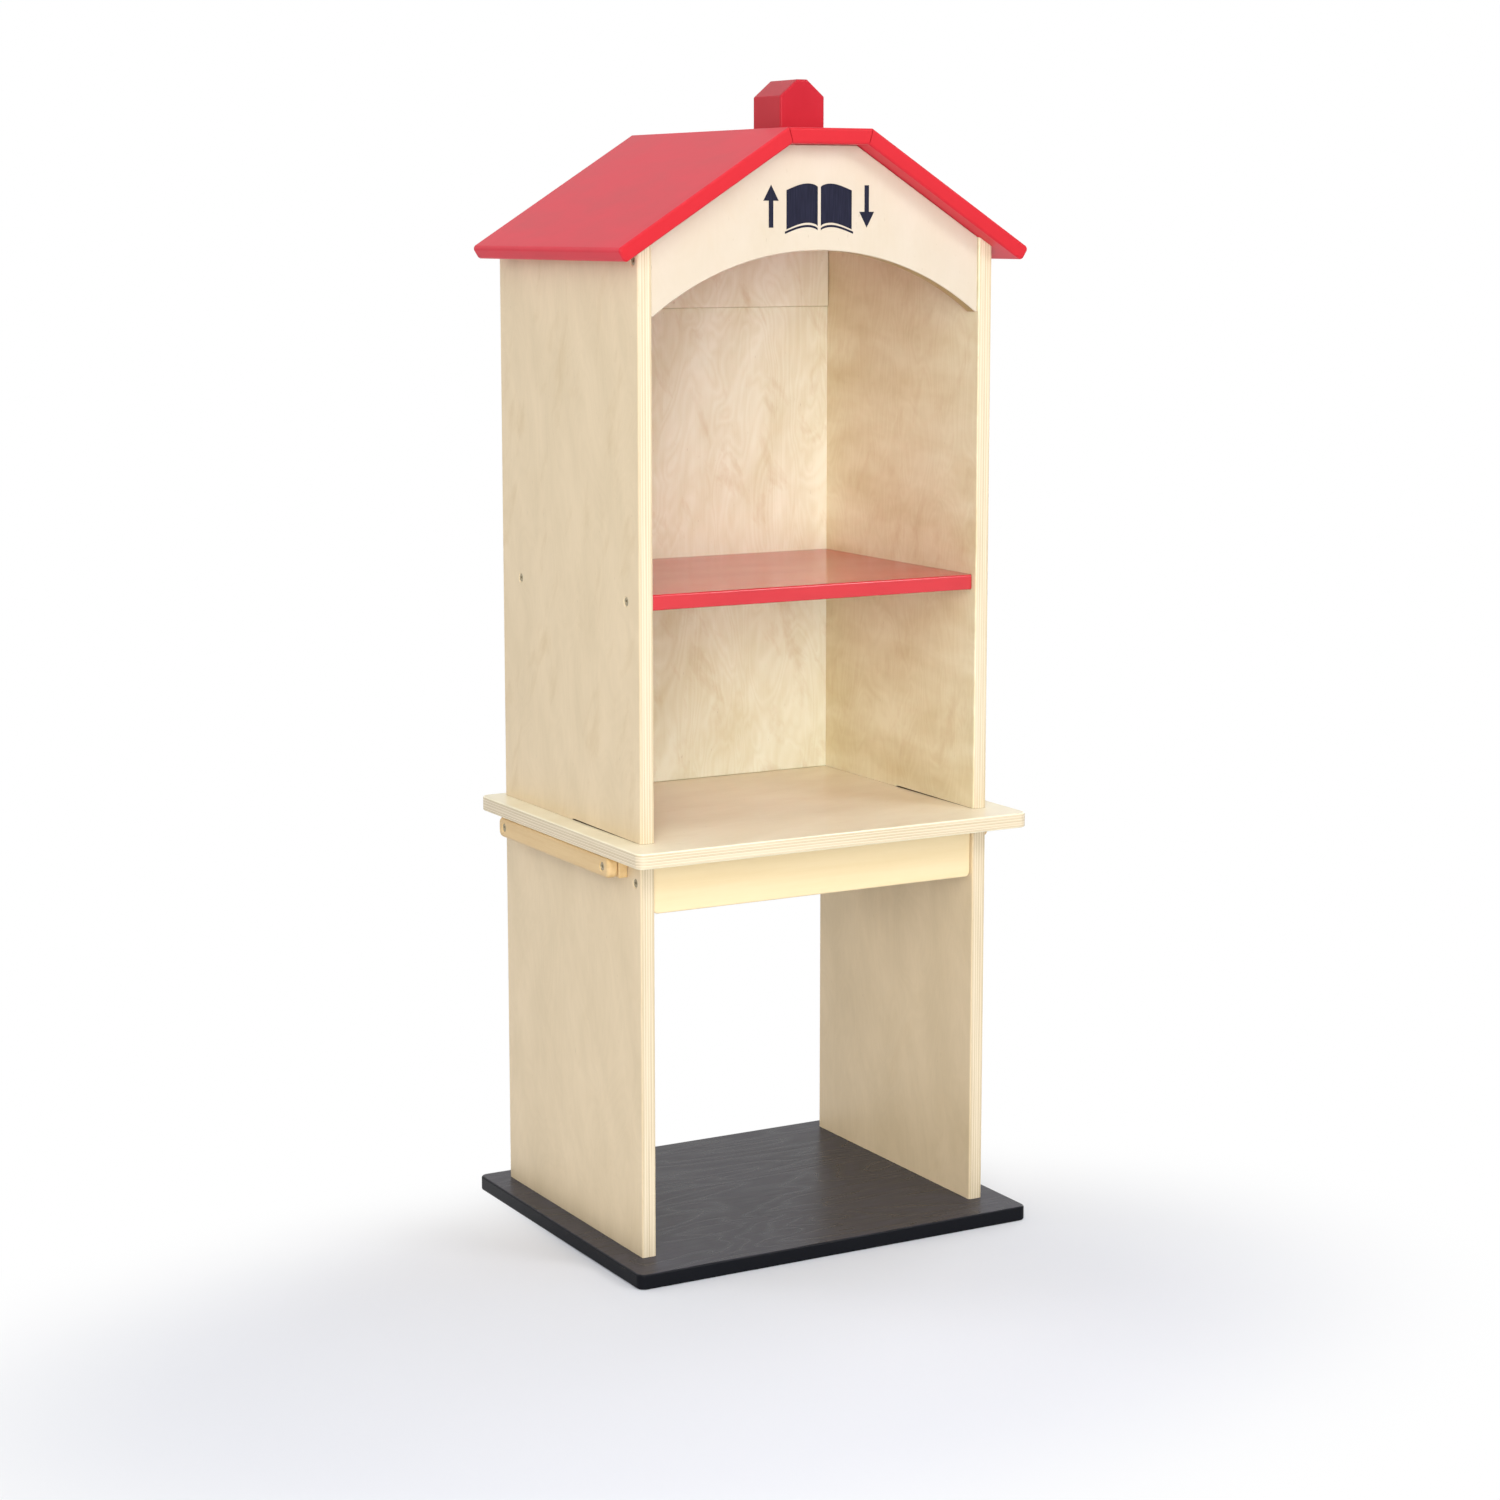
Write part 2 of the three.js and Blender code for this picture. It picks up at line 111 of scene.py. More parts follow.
class BookBoxSizes(bpy.types.PropertyGroup):
    """Roundings and small parts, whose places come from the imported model."""

    base_corner: length("Base corner", 10, "Radius of the base board's corners")
    base_arris: length("Base arris", 2.5, "Rounding along the base board's edges")
    counter_corner: length("Counter corner", 11, "Radius of the counter's corners")
    counter_arris: length("Counter arris", 2, "Rounding along the counter's edges")
    shelf_corner: length("Shelf corner", 4, "Radius of the shelf's front corners")
    shelf_arris: length("Shelf arris", 2.5, "Rounding along the shelf's front edge")
    apron_corner: length("Apron corner", 7, "Radius of the aprons' lower corners")
    apron_arris: length("Apron arris", 2, "Rounding along the aprons' edges")
    arch_rise: length("Arch rise", 72, "Height of the arch in the front board")
    arch_nib: length("Arch nib", 3, "Level width left at each end of the arch")
    fascia_arris: length("Front board arris", 1.5, "Rounding along the front board's edges")
    panel_arris: length("Panel arris", 1.2, "Rounding along the back boards' edges")
    roof_flat: length("Roof flat", 110, "Width of the level board on top of the roof")
    eave_overhang: length("Eave overhang", 36, "Distance from a side to the roof's corner")
    eave_radius: length("Eave radius", 5, "Radius of the roof's corners along the eaves")
    roof_arris: length("Roof arris", 3, "Rounding along the roof's front and rear edges")
    roof_pitch: FloatProperty(
        name="Roof pitch", description="Slope of the roof boards",
        default=math.radians(32), subtype="ANGLE", unit="ROTATION",
    )
    chimney_wall: length("Chimney wall", 37, "Height of the chimney's upright walls")
    chimney_flat: length("Chimney flat", 13, "Width of the chimney's level top")
    chimney_arris: length("Chimney arris", 2.5, "Rounding along the chimney's edges")
    screw_sink: length("Screw sink", 0.8, "Depth of a screw's head under the surface")
    socket: length("Screw socket", 4.6, "Width across the lobes of a screw's socket")
    lobes: IntProperty(
        name="Socket lobes", description="Number of lobes in a screw's socket", default=6, min=3,
    )
    sign_width: length("Sign width", 148, "Width of the pictogram on the front board")
    panel_gap: length("Panel gap", 0.6, "Gap left beside the back boards")
    veneer: length("Ply", 1.636, "Thickness of one ply of the plywood")


class BookBoxColours(bpy.types.PropertyGroup):
    """Colours of the woods, paints and metal."""

    birch: colour("Birch face", "E6D1AE", "Lacquered birch veneer on the sides")
    birch_shade: colour("Birch shade", "D9C49F", "Darker figure in the birch veneer")
    # Painted light: the right upper side's inner face gets these paler tones than its outer face,
    # to brighten the inside of the case
    birch_inner_lit: colour("Pale side face", "EEE6C5", "Paler birch veneer of the right upper side")
    birch_inner_lit_shade: colour("Pale side shade", "D6C699", "Darker figure in that veneer")
    # Painted shade: the front board gets this darker birch than the sides, toned down for the
    # strong front light it faces
    birch_front_dimmed: colour("Pale birch face", "D2C5B2", "Lacquered birch veneer facing the front")
    birch_front_dimmed_shade: colour("Pale birch shade", "CEC0AA", "Figure in the paler veneer")
    # Painted light: the back boards' inner faces get these palest, cooler tones, to brighten the
    # inside of the case and cancel the red light bounced onto it
    birch_back_lit: colour("Back panel face", "F7F6E1", "Lacquered birch veneer of the back boards")
    birch_back_lit_shade: colour("Back panel shade", "E4DDBC", "Figure in the back boards' veneer")
    counter: colour("Counter", "F8F1D6", "Gloss lacquered birch on the counter")
    counter_shade: colour("Counter shade", "EFE5C7", "Darker figure on the counter")
    ply_light: colour("Long plies", "E7D8BD", "Plies whose grain runs along the edge")
    ply_dark: colour("Cross plies", "D6C4A0", "Plies whose end grain shows")
    # Painted shade: the arch's edge gets these darker plies than the other edges; the plies are
    # real, their darker tone stands for the shade under the arch
    arch_shaded_long: colour("Arch long plies", "BFA873", "Long plies along the arch's sawn edge")
    arch_shaded_cross: colour("Arch cross plies", "94804F", "Cross plies along the arch's sawn edge")
    stain: colour("Birch stain", "C9AC7A", "Warm patches in the birch veneers")
    glue: colour("Glue line", "94794C", "Lines of glue between the plies")
    # Painted shade for the thin gaps under the sides, laid on the counter where the sides stand
    slot_shade: colour("Dust", "5A3812", "Dust and bare wood in the slots under the sides")
    apron: colour("Apron", "ECD8AE", "Lacquered solid birch of the aprons")
    apron_shade: colour("Apron shade", "E8D2A4", "Late wood of the aprons")
    rail: colour("Rail", "DDBE8A", "Lacquered solid birch of the side rails")
    rail_shade: colour("Rail shade", "CBA56C", "Late wood of the side rails")
    red: colour("Red paint", "C72932", "Semi-gloss paint on the shelf and the roof's ends")
    red_shade: colour("Red paint shade", "BD232D", "Thinner places in the red paint")
    # Painted light: the roof's faces get this brighter, pinker red than its ends, for the light and
    # sheen on the slopes; the ends keep the deeper red paint above as painted shade
    roof: colour("Roof paint", "D52B3D", "Fuller coats of the paint on the roof's faces")
    roof_shade: colour("Roof paint shade", "CB2737", "Thinner places in the roof's paint")
    chimney: colour("Chimney paint", "BB2A36", "Paint on the chimney's solid wood")
    chimney_shade: colour("Chimney paint shade", "B32430", "Thinner places in the chimney's paint")
    black: colour("Black stain", "16171B", "Stain on the base board")
    black_grain: colour("Black grain", "49464E", "Raised grain of the base board")
    beech: colour("Beech", "CFA874", "Raw beech of the dowels")
    steel: colour("Steel", "A0967E", "Zinc plating on the screws")
    ink: colour("Sign ink", "101124", "Printed pictogram on the front board")
    floor: colour("Floor", "E0E2E8", "Pale studio floor")


# Surfaces

def unit_rows(vectors):
    """Vectors, one in each row, scaled to length 1."""
    return vectors / np.linalg.norm(vectors, axis=1, keepdims=True)


def bent(corners, rounding, steps):
    """Outline with each corner bent into an arc.

    Corners are (x, y, radius), anticlockwise. With half the corner's angle h, the arc's centre
    lies radius / sin h along the corner's bisector and its ends radius / tan h back along the two
    edges. Its points are centre + radius * (cos a, sin a), with a running evenly from one end to
    the other. A corner with no radius stays one point. The rounding gives for the edge after each
    corner the share of the arris that it gets, and runs evenly along an arc between two edges.
    """
    corners = np.asarray(corners, float)
    rounding = np.asarray(rounding, float)
    spot, radius = corners[:, :2], corners[:, 2]
    back = unit_rows(np.roll(spot, 1, 0) - spot)
    on = unit_rows(np.roll(spot, -1, 0) - spot)
    half = np.arccos(np.clip((back * on).sum(1), -1, 1)) / 2
    middle = back + on
    middle /= np.maximum(np.linalg.norm(middle, axis=1, keepdims=True), 1e-12)
    centre = spot + middle * (radius / np.sin(half))[:, None]
    reach = (radius / np.tan(half))[:, None]
    start = spot + back * reach - centre
    end = spot + on * reach - centre
    first = np.arctan2(start[:, 1], start[:, 0])
    sweep = np.arctan2(end[:, 1], end[:, 0]) - first
    sweep = (sweep + np.pi) % (2 * np.pi) - np.pi
    share = np.linspace(0, 1, steps + 1)
    angle = first[:, None] + sweep[:, None] * share
    ring = np.stack([np.cos(angle), np.sin(angle)], 2) * radius[:, None, None]
    points = centre[:, None] + ring
    before = np.roll(rounding, 1)[:, None]
    along = before + (rounding[:, None] - before) * share
    curved = (radius > 0)[:, None] & (share < 1)
    along = np.where(curved, along, rounding[:, None])
    kept = (radius > 0)[:, None] | (share == 0)
    return points[kept], along[kept]


def board(outline, thickness, arris, turn, place, arris_steps=6):
    """A board cut to an outline, its two faces joined by a rounded edge.

    The surface's parameters are the way round the outline and the way across the edge. Across
    the edge an angle t runs from 0 to 90 degrees at the lower face and back at the upper one. At t
    the outline lies inset by arris * (1 - sin t), at arris * (1 - cos t) from its face, and the
    surface faces (sin t) outwards and (cos t) along the thickness. An inset moves each point
    so that it stays on both its edges' parallels. Both faces are flat. An edge with no share of
    the arris stays square.
    """
    points, share = outline
    edge = unit_rows(np.roll(points, -1, 0) - points)
    out = np.stack([edge[:, 1], -edge[:, 0]], 1)
    before = np.roll(out, 1, 0)
    share_before = np.roll(share, 1)
    turning = (out * before).sum(1)
    straight = turning > 0.9
    mean = -(share + share_before) / 2 / (1 + turning)
    spread = np.where(straight, 1, 1 - turning ** 2)
    by_out = np.where(straight, mean, (turning * share_before - share) / spread)
    by_before = np.where(straight, mean, (turning * share - share_before) / spread)
    inward = by_out[:, None] * out + by_before[:, None] * before

    lean = np.linspace(0, np.pi / 2, arris_steps + 1) if arris > 0 else np.array([np.pi / 2])
    inset = np.concatenate([arris * (1 - np.sin(lean)), arris * (1 - np.sin(lean[::-1]))])
    rise = arris * (1 - np.cos(lean))
    height = np.concatenate([rise, thickness - rise[::-1]])
    across = np.concatenate([np.sin(lean), np.sin(lean[::-1])])
    upward = np.concatenate([-np.cos(lean), np.cos(lean[::-1])])
    rows, count = len(height), len(points)
    flat = points + inset[:, None, None] * inward
    grid = np.concatenate([flat, np.broadcast_to(height[:, None, None], (rows, count, 1))], 2)

    def outwards(own, other, rounded):
        """Outward directions at one end of each edge, shared with its neighbour on a curve."""
        return unit_rows(np.where(rounded[:, None], own + other, own))

    at_start = outwards(out, before, straight)
    at_end = outwards(out, np.roll(out, -1, 0), np.roll(straight, -1))

    def facing(direction, row):
        """Normals along one row, for the directions at one end of each edge."""
        level = share[:, None] * (across[row] - 1) + 1
        up_part = share[:, None] * upward[row]
        return unit_rows(np.concatenate([direction * level, up_part], 1))

    index = np.arange(rows * count).reshape(rows, count)
    following = np.roll(index, -1, 1)
    quads = np.stack([index[:-1], following[:-1], following[1:], index[1:]], 2).reshape(-1, 4)
    low = [facing(at_start, r) for r in range(rows)]
    high = [facing(at_end, r) for r in range(rows)]
    sides = [np.stack([low[r], high[r], high[r + 1], low[r + 1]], 1) for r in range(rows - 1)]
    caps = [np.tile([0, 0, -1.0], (count, 1)), np.tile([0, 0, 1.0], (count, 1))]
    normals = np.concatenate([np.concatenate(sides).reshape(-1, 3)] + caps)
    faces = quads.tolist() + [index[0, ::-1].tolist(), index[-1].tolist()]
    return grid.reshape(-1, 3) @ turn + np.asarray(place), faces, normals @ turn


def lobed_screw(start, inward, span, sizes):
    """A countersunk screw with a lobed socket, as a profile carried round its axis.

    At the angle a round the axis, a row of the profile lies at radius * (1 + lobe * cos(n a)),
    n being the number of lobes. The profile runs from the socket's floor up its wall, out over
    the head, down the cone and along the shank to the tip. Both end rows are closed flat.
    """
    sink, socket = sizes.screw_sink, sizes.socket / 2
    # Radius, share of it that the lobes add, depth under the board's surface
    profile = np.array([
        [0.74 * socket, 0.12, sink + 2.4 * MM],
        [0.84 * socket, 0.14, sink + 0.25 * MM],
        [0.95 * socket, 0.14, sink],
        [2.6 * MM, 0, sink],
        [4.45 * MM, 0, sink],
        [4.72 * MM, 0, sink + 0.1 * MM],
        [4.8 * MM, 0, sink + 0.3 * MM],
        [2 * MM, 0, sink + 3.2 * MM],
        [2 * MM, 0, span - 2 * MM],
        [0.1 * MM, 0, span],
    ])
    angle = np.linspace(0, 2 * np.pi, 49)[:-1]
    radius = profile[:, :1] * (1 + profile[:, 1:2] * np.cos(sizes.lobes * angle))
    inward = np.asarray(inward, float)
    first = np.array([0, 1.0, 0])
    second = np.cross(inward, first)
    grid = (np.cos(angle) * radius)[..., None] * first
    grid = grid + (np.sin(angle) * radius)[..., None] * second
    grid = grid + profile[:, 2, None, None] * inward + np.asarray(start)
    rows, count = radius.shape
    index = np.arange(rows * count).reshape(rows, count)
    following = np.roll(index, -1, 1)
    quads = np.stack([index[:-1], index[1:], following[1:], following[:-1]], 2).reshape(-1, 4)
    faces = quads.tolist() + [index[0].tolist(), index[-1, ::-1].tolist()]
    return grid.reshape(-1, 3), faces, None


def make_piece(name, shapes, material, nodes=()):
    """One object from shapes of points, faces and normals, riding on the stand's only body."""
    points, faces, normals = [], [], []
    for shape_points, shape_faces, shape_normals in shapes:
        start = sum(len(part) for part in points)
        points.append(shape_points)
        faces += [[start + corner for corner in face] for face in shape_faces]
        normals.append(shape_normals)
    mesh = bpy.data.meshes.new(name)
    mesh.from_pydata(np.concatenate(points).tolist(), [], faces)
    mesh.shade_smooth()
    if any(part is None for part in normals):
        mesh.set_sharp_from_angle(angle=math.radians(35))
    else:
        mesh.normals_split_custom_set(np.concatenate(normals).tolist())
    mesh.validate()
    mesh.materials.append(material)
    piece = bpy.data.objects.new(name, mesh)
    bpy.context.scene.collection.objects.link(piece)
    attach(piece, "root")
    if nodes:
        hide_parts(*nodes)
    return piece


def finish_nodes(names, material):
    """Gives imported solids, whose shapes stay, a finish."""
    for name in names:
        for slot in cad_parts[name].material_slots:
            slot.material = material


# Finishes

def add(tree, kind, sockets=None, result=0, stops=None, **settings):
    """Adds a node with its settings, values and links, and returns one of its outputs, if any."""
    node = tree.nodes.new("ShaderNode" + kind)
    for name, value in settings.items():
        setattr(node, name, value)
    for number, (position, shade) in enumerate(stops or []):
        elements = node.color_ramp.elements
        stop = elements[number] if number < 2 else elements.new(position)
        stop.position = position
        stop.color = (*shade, 1) if len(shade) == 3 else shade
    for name, value in (sockets or {}).items():
        if isinstance(value, bpy.types.NodeSocket):
            tree.links.new(value, node.inputs[name])
        else:
            node.inputs[name].default_value = value
    return node.outputs[result] if node.outputs else None


def new_material(name):
    """A material whose node tree is empty, and that tree."""
    material = bpy.data.materials.new(name)
    material.use_nodes = True
    tree = material.node_tree
    tree.nodes.clear()
    return material, tree


def grey(value):
    """A grey for a ramp that gives a share."""
    return (value, value, value)


def tones_of(colours, finish):
    """The light and the darker tone of a finish."""
    return getattr(colours, finish), getattr(colours, finish + "_shade")


def solid_place(tree, order):
    """Place in a board in millimetres: along its grain, across its grain, and through it."""
    spot = add(tree, "TexCoord", result="Object")
    axes = add(tree, "SeparateXYZ", {0: spot}).node.outputs
    turned = add(tree, "CombineXYZ", {i: axes["XYZ".index(axis)] for i, axis in enumerate(order)})
    return add(tree, "VectorMath", {0: turned, 1: (1 / MM,) * 3}, operation="MULTIPLY")


def grained(tree, place, along, across, through=None, lean=0.0, **sockets):
    """Noise with grains of a size in millimetres along, across and through a board's grain.

    The lean turns the grains from the wood's own direction.
    """
    size = (along, across, across if through is None else through)
    turned = add(tree, "Mapping", {0: place, "Rotation": (0, 0, lean), "Scale": size},
                 vector_type="TEXTURE")
    return add(tree, "TexNoise", {"Vector": turned, "Scale": 1, **sockets})


def seen_or_mirrored(tree):
    """Share that is 1 on rays from the camera, a mirror or a clear piece, and 0 on others."""
    rays = add(tree, "LightPath").node.outputs
    seen = add(tree, "Math", {0: rays["Is Camera Ray"], 1: rays["Is Glossy Ray"]},
               operation="MAXIMUM")
    return add(tree, "Math", {0: seen, 1: rays["Is Transmission Ray"]}, operation="MAXIMUM")


def peeled_figure(tree, place, along, across, rings, swirl=0.25):
    """Lines of a veneer peeled off a log: level lines of a slow, stretched noise."""
    level = grained(tree, place, along, across, Detail=2, Roughness=0.4, Distortion=swirl)
    many = add(tree, "Math", {0: level, 1: rings}, operation="MULTIPLY")
    return add(tree, "Math", {0: many, 1: 0.5}, operation="PINGPONG")


def birch_plywood(name, order, low, thickness, faces, sizes, colours, lean=0.3, stained=0.25,
                  lined=0.16, plies=None, gloss=None, shade_strips=None):
    """Birch plywood, rotary-cut veneers glued crosswise, sanded and clear lacquered.

    The eye sees a pale face with soft slanting clouds, warm stained patches, fine fibres, a few
    flecks and a satin or gloss sheen, and along the edges cream plies that alternate with darker
    end grain between fine brown lines of glue. The whole board is one solid pattern, so a rounded
    edge cuts through its plies. The faces are pairs of a light and a darker tone, for the lower
    face and, if it differs, the upper one. The lean is the angle between clouds and grain. The
    shade strips, if given, are the reach across and along of the place under the right side that
    gets a painted shade, a dark brown that darkens the thin gap there, which the left side mirrors.
    """
    light_ply, dark_ply = plies or (colours.ply_light, colours.ply_dark)
    material, tree = new_material(name)
    place = solid_place(tree, order)
    depth = add(tree, "SeparateXYZ", {0: place}).node.outputs[2]
    depth = add(tree, "Math", {0: depth, 1: low / MM}, operation="SUBTRACT")

    # Figure of the face: clouds 50 by 130 mm, lines 5 to 15 mm apart, fibres under 1 mm wide
    lines = peeled_figure(tree, place, 200, 75, 12, 1.6)
    clouds = grained(tree, place, 130, 50, lean=lean, Detail=3, Roughness=0.5, Distortion=0.3)
    fibres = grained(tree, place, 45, 1.4, Detail=3)
    drawn = add(tree, "Math", {0: lines, 1: lined}, operation="MULTIPLY")
    clouded = add(tree, "Math", {0: clouds, 1: 0.9, 2: drawn}, operation="MULTIPLY_ADD")
    fibred = add(tree, "Math", {0: fibres, 1: 0.18, 2: clouded}, operation="MULTIPLY_ADD")
    tones = [add(tree, "ValToRGB", {0: fibred}, stops=[(0.34, shade), (0.78, light)])
             for light, shade in faces]
    upper = add(tree, "Math", {0: depth, 1: thickness / MM / 2}, operation="GREATER_THAN")
    face = add(tree, "Mix", {0: upper, 6: tones[0], 7: tones[-1]}, 2, data_type="RGBA")

    # Stains: warm patches 20 to 50 mm long with ragged rims
    stain_noise = grained(tree, place, 80, 34, lean=-0.4, Detail=5, Roughness=0.6, Distortion=0.3)
    stains = add(tree, "ValToRGB", {0: stain_noise}, stops=[(0.56, grey(0)), (0.78, grey(stained))])
    face = add(tree, "Mix", {0: stains, 6: face, 7: (*colours.stain, 1)}, 2, data_type="RGBA")

    # Flecks: thin dark marks a few millimetres long, far apart
    fleck_noise = grained(tree, place, 9, 2.2, Detail=1)
    flecks = add(tree, "ValToRGB", {0: fleck_noise}, stops=[(0.77, grey(0)), (0.83, grey(0.3))])
    face = add(tree, "Mix", {0: flecks, 6: face, 7: (*colours.glue, 1)}, 2, data_type="RGBA")

    # Plies: light, glue, cross ply, glue, one pair every two plies
    pairs = add(tree, "Math", {0: depth, 1: 2 * sizes.veneer / MM}, operation="DIVIDE")
    pair = add(tree, "Math", {0: pairs}, operation="FRACT")
    bands = add(tree, "ValToRGB", {0: pair}, stops=[
        (0.0, light_ply), (0.40, light_ply), (0.47, colours.glue),
        (0.54, dark_ply), (0.88, dark_ply), (0.95, colours.glue), (1.0, light_ply),
    ])
    streaks = grained(tree, place, 240, 240, 2.4, Detail=3)
    streak_share = add(tree, "ValToRGB", {0: streaks}, stops=[(0.38, grey(0.6)), (0.56, grey(0))])
    edge = add(tree, "Mix", {0: streak_share, 6: bands, 7: (*light_ply, 1)}, 2, data_type="RGBA")

    # The outer ply belongs to the face
    behind = add(tree, "Math", {0: thickness / MM, 1: depth}, operation="SUBTRACT")
    nearest = add(tree, "Math", {0: depth, 1: behind}, operation="MINIMUM")
    outer = add(tree, "Math", {0: nearest, 1: 0.8 * sizes.veneer / MM}, operation="LESS_THAN")
    shown = add(tree, "Mix", {0: outer, 6: edge, 7: face}, 2, data_type="RGBA")

    # Painted shade: a dark brown on the counter in the slots under the sides, darkening the thin
    # gaps
    if shade_strips is not None:
        spots = add(tree, "SeparateXYZ", {0: place}).node.outputs
        off_middle = add(tree, "Math", {0: spots[0]}, operation="ABSOLUTE")
        within = [
            add(tree, "Math", {0: spot, 1: (first + last) / 2 / MM, 2: (last - first) / 2 / MM},
                operation="COMPARE")
            for spot, (first, last) in zip((off_middle, spots[1]), shade_strips)
        ]
        inside = add(tree, "Math", {0: within[0], 1: within[1]}, operation="MULTIPLY")
        shown = add(tree, "Mix", {0: inside, 6: shown, 7: (*colours.slot_shade, 1)}, 2, data_type="RGBA")

    bump = add(tree, "Bump", {"Strength": 0.06, "Distance": 0.1 * MM, "Height": fibres})
    sheen = add(tree, "MapRange", {0: clouds, 3: 0.36, 4: 0.5})
    values = {"Base Color": shown, "Roughness": sheen, "Normal": bump}
    if gloss is not None:
        values |= {"Specular IOR Level": 0.2, "Coat Weight": 0.36, "Coat Roughness": gloss}
    shader = add(tree, "BsdfPrincipled", values)
    add(tree, "OutputMaterial", {"Surface": shader})
    return material


def solid_birch(name, order, tones):
    """Solid birch, planed, rounded and clear lacquered.

    The eye sees warm straight grain along the bar, in long soft streaks 2 to 6 mm wide, with fine
    short pores, and a satin sheen on the rounded edges.
    """
    material, tree = new_material(name)
    place = solid_place(tree, order)
    grain = grained(tree, place, 200, 9, 12, Detail=3, Distortion=0.4)
    pores = grained(tree, place, 16, 0.8, Detail=2)
    both = add(tree, "Math", {0: pores, 1: 0.35, 2: grain}, operation="MULTIPLY_ADD")
    tone = add(tree, "ValToRGB", {0: both}, stops=[(0.35, tones[1]), (0.85, tones[0])])
    bump = add(tree, "Bump", {"Strength": 0.15, "Distance": 0.1 * MM, "Height": pores})
    sheen = add(tree, "MapRange", {0: grain, 3: 0.36, 4: 0.48})
    shader = add(tree, "BsdfPrincipled", {"Base Color": tone, "Roughness": sheen, "Normal": bump})
    add(tree, "OutputMaterial", {"Surface": shader})
    return material


def red_enamel(name, order, tones, gloss, mirror, ends=None):
    """Semi-gloss enamel sprayed on sanded birch plywood.

    The eye sees an even strong red that mirrors the room softly at a low angle, with the wood's
    long grain showing through as faint ripples and a fine orange-peel surface. The gloss is its
    roughness and the mirror its specular level. The ends, if given, are the places along the
    grain of a board's two ends and a deeper red painted there as painted shade, beside the faces'
    brighter red.
    """
    material, tree = new_material(name)
    place = solid_place(tree, order)
    lines = peeled_figure(tree, place, 300, 40, 12)
    clouds = grained(tree, place, 120, 50, Detail=3)
    tone = add(tree, "ValToRGB", {0: clouds}, stops=[(0.3, tones[1]), (0.6, tones[0])])
    # Painted shade: the deeper red at a board's two ends, beside the brighter faces
    if ends is not None:
        first, last, end_shade = ends
        along = add(tree, "SeparateXYZ", {0: place}).node.outputs[0]
        off_middle = add(tree, "Math", {0: along, 1: (first + last) / 2 / MM}, operation="SUBTRACT")
        reach = add(tree, "Math", {0: off_middle}, operation="ABSOLUTE")
        half = (last - first) / 2 / MM
        shaded = add(tree, "MapRange", {0: reach, 1: half - 2, 2: half - 0.5})
        tone = add(tree, "Mix", {0: shaded, 6: tone, 7: (*end_shade, 1)}, 2, data_type="RGBA")
    fibres = grained(tree, place, 40, 1.6, Detail=2)
    peel = grained(tree, place, 2, 2, Detail=1)
    relief = add(tree, "Math", {0: fibres, 1: 0.6, 2: lines}, operation="MULTIPLY_ADD")
    relief = add(tree, "Math", {0: peel, 1: 0.3, 2: relief}, operation="MULTIPLY_ADD")
    bump = add(tree, "Bump", {"Strength": 0.1, "Distance": 0.03 * MM, "Height": relief})
    spread = 0.04
    sheen = add(tree, "MapRange", {0: clouds, 3: gloss - spread, 4: gloss + spread})
    shader = add(tree, "BsdfPrincipled", {
        "Base Color": tone, "Roughness": sheen, "Specular IOR Level": mirror, "Normal": bump,
    })
    add(tree, "OutputMaterial", {"Surface": shader})
    return material


def black_stained_plywood(name, top, colours):
    """Birch plywood stained black, its raised grain sealed with clear lacquer.

    The eye sees near black edges and a dark grey face with wavy raised grain from left to right
    that catches the light, and a mirror of the sides at a low angle. The face fades into the edge
    within the last millimetre below the top.
    """
    material, tree = new_material(name)
    place = solid_place(tree, "XYZ")
    lines = peeled_figure(tree, place, 330, 75, 14, 0.5)
    crests = add(tree, "Math", {0: lines, 1: 2.0}, operation="MULTIPLY")
    crests = add(tree, "Math", {0: crests, 1: 3.0}, operation="POWER")
    fibres = grained(tree, place, 50, 2.0, Detail=3)
    relief = add(tree, "Math", {0: crests, 1: 0.3, 2: fibres}, operation="MULTIPLY_ADD")
    height = add(tree, "SeparateXYZ", {0: place}).node.outputs[2]
    on_top = add(tree, "MapRange", {0: height, 1: top / MM - 1.2, 2: top / MM - 0.1})
    raised = add(tree, "Math", {0: relief, 1: on_top}, operation="MULTIPLY")
    tone = add(tree, "ValToRGB", {0: raised},
               stops=[(0.15, colours.black), (0.95, colours.black_grain)])
    bump = add(tree, "Bump", {"Strength": 0.6, "Distance": 0.12 * MM, "Height": raised})
    sheen = add(tree, "MapRange", {0: lines, 2: 0.5, 3: 0.26, 4: 0.4})
    face = add(tree, "BsdfPrincipled", {
        "Base Color": tone, "Roughness": sheen, "Specular IOR Level": 0.12, "Normal": bump,
    })
    edge = add(tree, "BsdfPrincipled", {
        "Base Color": (*colours.black, 1), "Roughness": 0.25, "Specular IOR Level": 0.05,
    })
    shader = add(tree, "MixShader", {0: on_top, 1: edge, 2: face})
    add(tree, "OutputMaterial", {"Surface": shader})
    return material


def zinc_steel(name, colours):
    """Steel screws, cold headed and bright zinc plated.

    The eye sees a small grey-white metal disc with a dark lobed socket and faint marks, about two
    to the millimetre.
    """
    material, tree = new_material(name)
    spot = add(tree, "TexCoord", result="Object")
    fine = add(tree, "TexNoise", {"Vector": spot, "Scale": 1.8 / MM, "Detail": 2})
    rough = add(tree, "MapRange", {0: fine, 3: 0.32, 4: 0.52})
    bump = add(tree, "Bump", {"Strength": 0.2, "Distance": 0.03 * MM, "Height": fine})
    shader = add(tree, "BsdfPrincipled", {
        "Base Color": (*colours.steel, 1), "Metallic": 1.0, "Roughness": rough, "Normal": bump,
    })
    add(tree, "OutputMaterial", {"Surface": shader})
    return material


